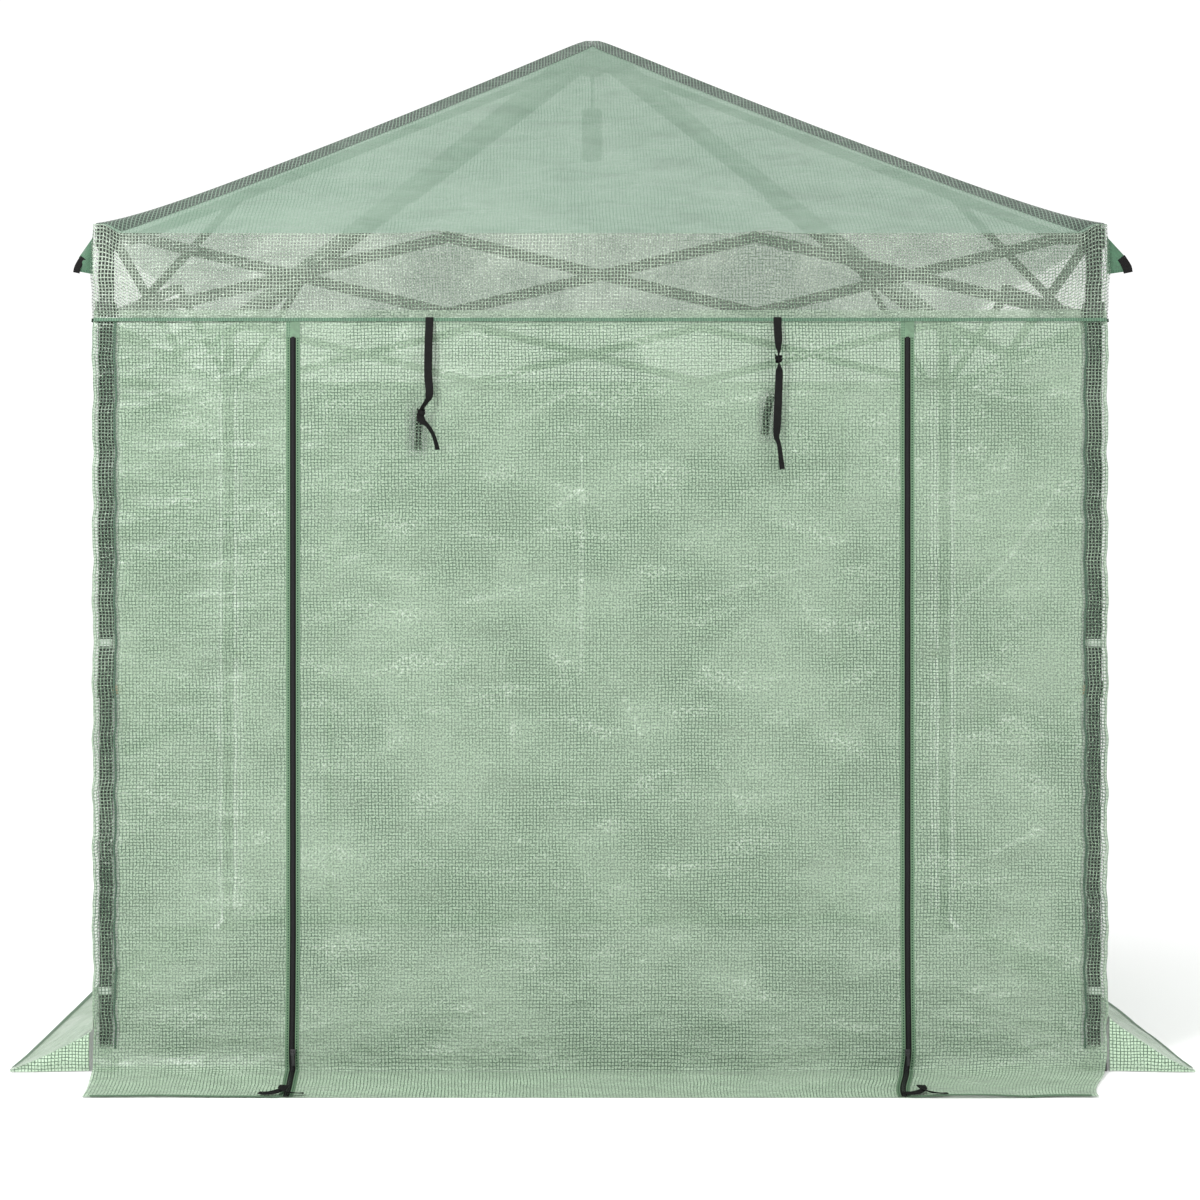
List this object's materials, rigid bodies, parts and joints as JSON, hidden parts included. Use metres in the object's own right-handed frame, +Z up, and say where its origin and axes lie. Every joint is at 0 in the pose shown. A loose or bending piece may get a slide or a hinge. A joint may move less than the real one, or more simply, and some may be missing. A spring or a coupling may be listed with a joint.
{
  "type": "pop up greenhouse",
  "caption": "Walk-in pop up greenhouse: scissor-truss steel frame that folds, telescoping legs, pitched roof, translucent cover with ground skirts and a zipped roll-up front door.",
  "frame": {"origin": "ground level, at the middle of the plan", "axes": "+X to the right along the wide front, +Y from the front towards the back, +Z up"},
  "size_m": [2.847, 2.109, 2.6983],
  "materials": {
    "black_steel": "satin",
    "black_plastic": "matte",
    "cover_film": "satin",
    "black_webbing": "matte"
  },
  "bodies": {
    "leg_front_left": {"upper_leg_front_left": "black_steel", "wall_front_left": "cover_film", "tie_strap_left": "black_webbing", "tie_strap_right": "black_webbing"},
    "leg_front_right": {"upper_leg_front_right": "black_steel", "wall_right": "cover_film"},
    "leg_back_right": {"upper_leg_back_right": "black_steel"},
    "leg_back_left": {"upper_leg_back_left": "black_steel", "wall_back": "cover_film"},
    "telescope_front_left": {"lower_leg_front_left": "black_steel"},
    "slide_bracket_front_left": {"slider_front_left": "black_plastic"},
    "telescope_front_right": {"lower_leg_front_right": "black_steel"},
    "slide_bracket_front_right": {"slider_front_right": "black_plastic"},
    "telescope_back_right": {"lower_leg_back_right": "black_steel"},
    "slide_bracket_back_right": {"slider_back_right": "black_plastic"},
    "telescope_back_left": {"lower_leg_back_left": "black_steel"},
    "slide_bracket_back_left": {"slider_back_left": "black_plastic"},
    "front_outer_1": {"front_bar_outer_1": "black_steel"},
    "front_inner_1": {"front_bar_inner_1": "black_steel"},
    "front_outer_2": {"front_bar_outer_2": "black_steel"},
    "front_inner_2": {"front_bar_inner_2": "black_steel"},
    "front_outer_3": {"front_bar_outer_3": "black_steel"},
    "front_inner_3": {"front_bar_inner_3": "black_steel"},
    "right_outer_1": {"right_bar_outer_1": "black_steel"},
    "right_inner_1": {"right_bar_inner_1": "black_steel"},
    "right_outer_2": {"right_bar_outer_2": "black_steel"},
    "right_inner_2": {"right_bar_inner_2": "black_steel"},
    "back_outer_1": {"back_bar_outer_1": "black_steel"},
    "back_inner_1": {"back_bar_inner_1": "black_steel"},
    "back_outer_2": {"back_bar_outer_2": "black_steel"},
    "back_inner_2": {"back_bar_inner_2": "black_steel"},
    "back_outer_3": {"back_bar_outer_3": "black_steel"},
    "back_inner_3": {"back_bar_inner_3": "black_steel"},
    "left_outer_1": {"left_bar_outer_1": "black_steel"},
    "left_inner_1": {"left_bar_inner_1": "black_steel"},
    "left_outer_2": {"left_bar_outer_2": "black_steel"},
    "left_inner_2": {"left_bar_inner_2": "black_steel"},
    "lower_rafter_front_left": {"lower_rafter_front_left": "black_steel"},
    "strut_front_left": {"strut_front_left": "black_steel"},
    "upper_rafter_front_left": {"upper_rafter_front_left": "black_steel"},
    "hub": {"peak_hub": "black_plastic"},
    "lower_rafter_front_right": {"lower_rafter_front_right": "black_steel"},
    "strut_front_right": {"strut_front_right": "black_steel"},
    "upper_rafter_front_right": {"upper_rafter_front_right": "black_steel"},
    "lower_rafter_back_right": {"lower_rafter_back_right": "black_steel"},
    "strut_back_right": {"strut_back_right": "black_steel"},
    "upper_rafter_back_right": {"upper_rafter_back_right": "black_steel"},
    "lower_rafter_back_left": {"lower_rafter_back_left": "black_steel"},
    "strut_back_left": {"strut_back_left": "black_steel"},
    "upper_rafter_back_left": {"upper_rafter_back_left": "black_steel"},
    "roof_front": {"roof_front": "cover_film"},
    "roof_right": {"roof_right": "cover_film"},
    "roof_back": {"roof_back": "cover_film"},
    "roof_left": {"roof_left": "cover_film"},
    "door_upper": {"door_upper": "cover_film"},
    "door_middle": {"door_middle": "cover_film"},
    "door_lower": {"door_lower": "cover_film"},
    "door_skirt": {"door_skirt": "cover_film"},
    "zip_slider_left": {"zip_slider_left": "black_plastic"},
    "zip_slider_right": {"zip_slider_right": "black_plastic"}
  },
  "joints": [
    {"name": "frame_fold", "type": "hinge", "parent": "leg_front_left", "child": "front_outer_1", "pos_m": [-1.107, -0.813, 1.99], "axis": [0, -1, 0], "range_deg": [-73, 0], "deforming": ["wall_front_left", "wall_right", "wall_back", "roof_front", "roof_right", "roof_back", "roof_left", "door_upper", "door_middle", "door_lower", "door_skirt", "tie_strap_left", "tie_strap_right"]},
    {"name": "front_inner_1_pivot", "type": "hinge", "parent": "front_outer_1", "child": "front_inner_1", "pos_m": [-0.738, -0.813, 1.89923], "axis": [0, -1, 0], "range_deg": [0, 146]},
    {"name": "front_outer_2_pivot", "type": "hinge", "parent": "front_inner_1", "child": "front_outer_2", "pos_m": [-0.369, -0.813, 1.99], "axis": [0, -1, 0], "range_deg": [-146, 0]},
    {"name": "front_inner_2_pivot", "type": "hinge", "parent": "front_outer_2", "child": "front_inner_2", "pos_m": [0, -0.813, 1.89923], "axis": [0, -1, 0], "range_deg": [0, 146]},
    {"name": "front_outer_3_pivot", "type": "hinge", "parent": "front_inner_2", "child": "front_outer_3", "pos_m": [0.369, -0.813, 1.99], "axis": [0, -1, 0], "range_deg": [-146, 0]},
    {"name": "front_inner_3_pivot", "type": "hinge", "parent": "front_outer_3", "child": "front_inner_3", "pos_m": [0.738, -0.813, 1.89923], "axis": [0, -1, 0], "range_deg": [0, 146]},
    {"name": "leg_front_right_pivot", "type": "hinge", "parent": "front_inner_3", "child": "leg_front_right", "pos_m": [1.107, -0.813, 1.99], "axis": [0, -1, 0], "range_deg": [-73, 0]},
    {"name": "slider_front_right_pivot", "type": "hinge", "parent": "front_outer_3", "child": "slide_bracket_front_right", "pos_m": [1.107, -0.813, 1.80846], "axis": [0, -1, 0], "range_deg": [0, 73]},
    {"name": "slider_front_left_pivot", "type": "hinge", "parent": "front_inner_1", "child": "slide_bracket_front_left", "pos_m": [-1.107, -0.813, 1.80846], "axis": [0, -1, 0], "range_deg": [-73, 0]},
    {"name": "right_outer_1_pivot", "type": "hinge", "parent": "leg_front_right", "child": "right_outer_1", "pos_m": [1.182, -0.738, 1.99], "axis": [1, 0, 0], "range_deg": [-73, 0]},
    {"name": "right_inner_1_pivot", "type": "hinge", "parent": "right_outer_1", "child": "right_inner_1", "pos_m": [1.182, -0.369, 1.89923], "axis": [1, 0, 0], "range_deg": [0, 146]},
    {"name": "right_outer_2_pivot", "type": "hinge", "parent": "right_inner_1", "child": "right_outer_2", "pos_m": [1.182, 0, 1.99], "axis": [1, 0, 0], "range_deg": [-146, 0]},
    {"name": "right_inner_2_pivot", "type": "hinge", "parent": "right_outer_2", "child": "right_inner_2", "pos_m": [1.182, 0.369, 1.89923], "axis": [1, 0, 0], "range_deg": [0, 146]},
    {"name": "leg_back_right_pivot", "type": "hinge", "parent": "right_inner_2", "child": "leg_back_right", "pos_m": [1.182, 0.738, 1.99], "axis": [1, 0, 0], "range_deg": [-73, 0]},
    {"name": "slider_back_right_pivot", "type": "hinge", "parent": "right_outer_2", "child": "slide_bracket_back_right", "pos_m": [1.182, 0.738, 1.80846], "axis": [1, 0, 0], "range_deg": [0, 73]},
    {"name": "back_outer_1_pivot", "type": "hinge", "parent": "leg_back_right", "child": "back_outer_1", "pos_m": [1.107, 0.813, 1.99], "axis": [0, 1, 0], "range_deg": [-73, 0]},
    {"name": "back_inner_1_pivot", "type": "hinge", "parent": "back_outer_1", "child": "back_inner_1", "pos_m": [0.738, 0.813, 1.89923], "axis": [0, 1, 0], "range_deg": [0, 146]},
    {"name": "back_outer_2_pivot", "type": "hinge", "parent": "back_inner_1", "child": "back_outer_2", "pos_m": [0.369, 0.813, 1.99], "axis": [0, 1, 0], "range_deg": [-146, 0]},
    {"name": "back_inner_2_pivot", "type": "hinge", "parent": "back_outer_2", "child": "back_inner_2", "pos_m": [0, 0.813, 1.89923], "axis": [0, 1, 0], "range_deg": [0, 146]},
    {"name": "back_outer_3_pivot", "type": "hinge", "parent": "back_inner_2", "child": "back_outer_3", "pos_m": [-0.369, 0.813, 1.99], "axis": [0, 1, 0], "range_deg": [-146, 0]},
    {"name": "back_inner_3_pivot", "type": "hinge", "parent": "back_outer_3", "child": "back_inner_3", "pos_m": [-0.738, 0.813, 1.89923], "axis": [0, 1, 0], "range_deg": [0, 146]},
    {"name": "left_inner_2_pivot", "type": "hinge", "parent": "leg_front_left", "child": "left_inner_2", "pos_m": [-1.182, -0.738, 1.99], "axis": [-1, 0, 0], "range_deg": [0, 73]},
    {"name": "left_outer_2_pivot", "type": "hinge", "parent": "left_inner_2", "child": "left_outer_2", "pos_m": [-1.182, -0.369, 1.89923], "axis": [-1, 0, 0], "range_deg": [-146, 0]},
    {"name": "left_inner_1_pivot", "type": "hinge", "parent": "left_outer_2", "child": "left_inner_1", "pos_m": [-1.182, 0, 1.99], "axis": [-1, 0, 0], "range_deg": [0, 146]},
    {"name": "left_outer_1_pivot", "type": "hinge", "parent": "left_inner_1", "child": "left_outer_1", "pos_m": [-1.182, 0.369, 1.89923], "axis": [-1, 0, 0], "range_deg": [-146, 0]},
    {"name": "leg_back_left_pivot", "type": "hinge", "parent": "left_outer_1", "child": "leg_back_left", "pos_m": [-1.182, 0.738, 1.99], "axis": [-1, 0, 0], "range_deg": [0, 73]},
    {"name": "slider_back_left_pivot", "type": "hinge", "parent": "left_inner_1", "child": "slide_bracket_back_left", "pos_m": [-1.182, 0.738, 1.80846], "axis": [-1, 0, 0], "range_deg": [-73, 0]},
    {"name": "telescope_front_left", "type": "slide", "parent": "leg_front_left", "child": "telescope_front_left", "axis": [0, 0, -1], "range_m": [-0.85, 0]},
    {"name": "telescope_front_right", "type": "slide", "parent": "leg_front_right", "child": "telescope_front_right", "axis": [0, 0, -1], "range_m": [-0.85, 0]},
    {"name": "telescope_back_right", "type": "slide", "parent": "leg_back_right", "child": "telescope_back_right", "axis": [0, 0, -1], "range_m": [-0.85, 0]},
    {"name": "telescope_back_left", "type": "slide", "parent": "leg_back_left", "child": "telescope_back_left", "axis": [0, 0, -1], "range_m": [-0.85, 0]},
    {"name": "lower_rafter_front_left_pivot", "type": "hinge", "parent": "leg_front_left", "child": "lower_rafter_front_left", "pos_m": [-1.13092, -0.77786, 1.99], "axis": [0.5667, -0.8239, 0], "range_deg": [-110.09, 0]},
    {"name": "strut_front_left_pivot", "type": "hinge", "parent": "slide_bracket_front_left", "child": "strut_front_left", "pos_m": [-1.13092, -0.77786, 1.80846], "axis": [0.5667, -0.8239, 0], "range_deg": [0, 38.16]},
    {"name": "upper_rafter_front_left_pivot", "type": "hinge", "parent": "lower_rafter_front_left", "child": "upper_rafter_front_left", "pos_m": [-0.55088, -0.3789, 2.328], "axis": [0.5667, -0.8239, 0], "range_deg": [0, 172.81]},
    {"name": "hub_pivot", "type": "hinge", "parent": "upper_rafter_front_left", "child": "hub", "pos_m": [-0.0412, -0.02833, 2.625], "axis": [0.5667, -0.8239, 0], "range_deg": [-62.72, 0]},
    {"name": "lower_rafter_front_right_pivot", "type": "hinge", "parent": "leg_front_right", "child": "lower_rafter_front_right", "pos_m": [1.13092, -0.77786, 1.99], "axis": [0.5667, 0.8239, 0], "range_deg": [-110.09, 0]},
    {"name": "strut_front_right_pivot", "type": "hinge", "parent": "slide_bracket_front_right", "child": "strut_front_right", "pos_m": [1.13092, -0.77786, 1.80846], "axis": [0.5667, 0.8239, 0], "range_deg": [0, 38.16]},
    {"name": "upper_rafter_front_right_pivot", "type": "hinge", "parent": "hub", "child": "upper_rafter_front_right", "pos_m": [0.0412, -0.02833, 2.625], "axis": [0.5667, 0.8239, 0], "range_deg": [0, 62.72]},
    {"name": "lower_rafter_back_right_pivot", "type": "hinge", "parent": "leg_back_right", "child": "lower_rafter_back_right", "pos_m": [1.13092, 0.77786, 1.99], "axis": [-0.5667, 0.8239, 0], "range_deg": [-110.09, 0]},
    {"name": "strut_back_right_pivot", "type": "hinge", "parent": "slide_bracket_back_right", "child": "strut_back_right", "pos_m": [1.13092, 0.77786, 1.80846], "axis": [-0.5667, 0.8239, 0], "range_deg": [0, 38.16]},
    {"name": "upper_rafter_back_right_pivot", "type": "hinge", "parent": "hub", "child": "upper_rafter_back_right", "pos_m": [0.0412, 0.02833, 2.625], "axis": [-0.5667, 0.8239, 0], "range_deg": [0, 62.72]},
    {"name": "lower_rafter_back_left_pivot", "type": "hinge", "parent": "leg_back_left", "child": "lower_rafter_back_left", "pos_m": [-1.13092, 0.77786, 1.99], "axis": [-0.5667, -0.8239, 0], "range_deg": [-110.09, 0]},
    {"name": "strut_back_left_pivot", "type": "hinge", "parent": "slide_bracket_back_left", "child": "strut_back_left", "pos_m": [-1.13092, 0.77786, 1.80846], "axis": [-0.5667, -0.8239, 0], "range_deg": [0, 38.16]},
    {"name": "upper_rafter_back_left_pivot", "type": "hinge", "parent": "hub", "child": "upper_rafter_back_left", "pos_m": [-0.0412, 0.02833, 2.625], "axis": [-0.5667, -0.8239, 0], "range_deg": [0, 62.72]},
    {"name": "roof_front_drape", "type": "hinge", "parent": "leg_front_left", "child": "roof_front", "pos_m": [0, -0.8395, 2.006], "axis": [1, 0, 0], "range_deg": [-129.62, 0]},
    {"name": "roof_right_drape", "type": "hinge", "parent": "leg_front_right", "child": "roof_right", "pos_m": [1.2085, 0, 2.006], "axis": [0, 1, 0], "range_deg": [-119.9, 0]},
    {"name": "roof_back_drape", "type": "hinge", "parent": "leg_back_left", "child": "roof_back", "pos_m": [0, 0.8395, 2.006], "axis": [-1, 0, 0], "range_deg": [-129.62, 0]},
    {"name": "roof_left_drape", "type": "hinge", "parent": "leg_front_left", "child": "roof_left", "pos_m": [-1.2085, 0, 2.006], "axis": [0, -1, 0], "range_deg": [-119.9, 0]},
    {"name": "front_door_fold", "type": "hinge", "parent": "leg_front_left", "child": "door_upper", "pos_m": [0, -0.8415, 1.31625], "axis": [-1, 0, 0], "range_deg": [0, 180]},
    {"name": "door_middle_fold", "type": "hinge", "parent": "door_upper", "child": "door_middle", "pos_m": [0, -0.8375, 0.8775], "axis": [-1, 0, 0], "range_deg": [-180, 0]},
    {"name": "door_lower_fold", "type": "hinge", "parent": "door_middle", "child": "door_lower", "pos_m": [0, -0.8435, 0.43875], "axis": [-1, 0, 0], "range_deg": [0, 180]},
    {"name": "door_skirt_fold", "type": "hinge", "parent": "door_lower", "child": "door_skirt", "pos_m": [0, -0.8415, 0.004], "axis": [-1, 0, 0], "range_deg": [0, 90]},
    {"name": "zip_left", "type": "slide", "parent": "leg_front_left", "child": "zip_slider_left", "axis": [0, 0, 1], "range_m": [0, 1.69]},
    {"name": "zip_right", "type": "slide", "parent": "leg_front_left", "child": "zip_slider_right", "axis": [0, 0, 1], "range_m": [0, 1.69]}
  ],
  "couplings": [
    {"joint": "front_inner_1_pivot", "follows": "frame_fold", "ratio": -2},
    {"joint": "front_outer_2_pivot", "follows": "frame_fold", "ratio": 2},
    {"joint": "front_inner_2_pivot", "follows": "frame_fold", "ratio": -2},
    {"joint": "front_outer_3_pivot", "follows": "frame_fold", "ratio": 2},
    {"joint": "front_inner_3_pivot", "follows": "frame_fold", "ratio": -2},
    {"joint": "leg_front_right_pivot", "follows": "frame_fold", "ratio": 1},
    {"joint": "slider_front_right_pivot", "follows": "frame_fold", "ratio": -1},
    {"joint": "slider_front_left_pivot", "follows": "frame_fold", "ratio": 1},
    {"joint": "right_outer_1_pivot", "follows": "frame_fold", "ratio": 1},
    {"joint": "right_inner_1_pivot", "follows": "frame_fold", "ratio": -2},
    {"joint": "right_outer_2_pivot", "follows": "frame_fold", "ratio": 2},
    {"joint": "right_inner_2_pivot", "follows": "frame_fold", "ratio": -2},
    {"joint": "leg_back_right_pivot", "follows": "frame_fold", "ratio": 1},
    {"joint": "slider_back_right_pivot", "follows": "frame_fold", "ratio": -1},
    {"joint": "back_outer_1_pivot", "follows": "frame_fold", "ratio": 1},
    {"joint": "back_inner_1_pivot", "follows": "frame_fold", "ratio": -2},
    {"joint": "back_outer_2_pivot", "follows": "frame_fold", "ratio": 2},
    {"joint": "back_inner_2_pivot", "follows": "frame_fold", "ratio": -2},
    {"joint": "back_outer_3_pivot", "follows": "frame_fold", "ratio": 2},
    {"joint": "back_inner_3_pivot", "follows": "frame_fold", "ratio": -2},
    {"joint": "left_inner_2_pivot", "follows": "frame_fold", "ratio": -1},
    {"joint": "left_outer_2_pivot", "follows": "frame_fold", "ratio": 2},
    {"joint": "left_inner_1_pivot", "follows": "frame_fold", "ratio": -2},
    {"joint": "left_outer_1_pivot", "follows": "frame_fold", "ratio": 2},
    {"joint": "leg_back_left_pivot", "follows": "frame_fold", "ratio": -1},
    {"joint": "slider_back_left_pivot", "follows": "frame_fold", "ratio": 1},
    {"joint": "lower_rafter_front_left_pivot", "follows": "frame_fold", "ratio": 1.5081},
    {"joint": "strut_front_left_pivot", "follows": "frame_fold", "ratio": -0.52275},
    {"joint": "upper_rafter_front_left_pivot", "follows": "frame_fold", "ratio": -2.3672},
    {"joint": "hub_pivot", "follows": "frame_fold", "ratio": 0.85914},
    {"joint": "lower_rafter_front_right_pivot", "follows": "frame_fold", "ratio": 1.5081},
    {"joint": "strut_front_right_pivot", "follows": "frame_fold", "ratio": -0.52275},
    {"joint": "upper_rafter_front_right_pivot", "follows": "frame_fold", "ratio": -0.85914},
    {"joint": "lower_rafter_back_right_pivot", "follows": "frame_fold", "ratio": 1.5081},
    {"joint": "strut_back_right_pivot", "follows": "frame_fold", "ratio": -0.52275},
    {"joint": "upper_rafter_back_right_pivot", "follows": "frame_fold", "ratio": -0.85914},
    {"joint": "lower_rafter_back_left_pivot", "follows": "frame_fold", "ratio": 1.5081},
    {"joint": "strut_back_left_pivot", "follows": "frame_fold", "ratio": -0.52275},
    {"joint": "upper_rafter_back_left_pivot", "follows": "frame_fold", "ratio": -0.85914},
    {"joint": "roof_front_drape", "follows": "frame_fold", "ratio": 1.7756},
    {"joint": "roof_right_drape", "follows": "frame_fold", "ratio": 1.6425},
    {"joint": "roof_back_drape", "follows": "frame_fold", "ratio": 1.7756},
    {"joint": "roof_left_drape", "follows": "frame_fold", "ratio": 1.6425},
    {"joint": "door_middle_fold", "follows": "front_door_fold", "ratio": -1},
    {"joint": "door_lower_fold", "follows": "front_door_fold", "ratio": 1},
    {"joint": "door_skirt_fold", "follows": "front_door_fold", "ratio": 0.5}
  ]
}
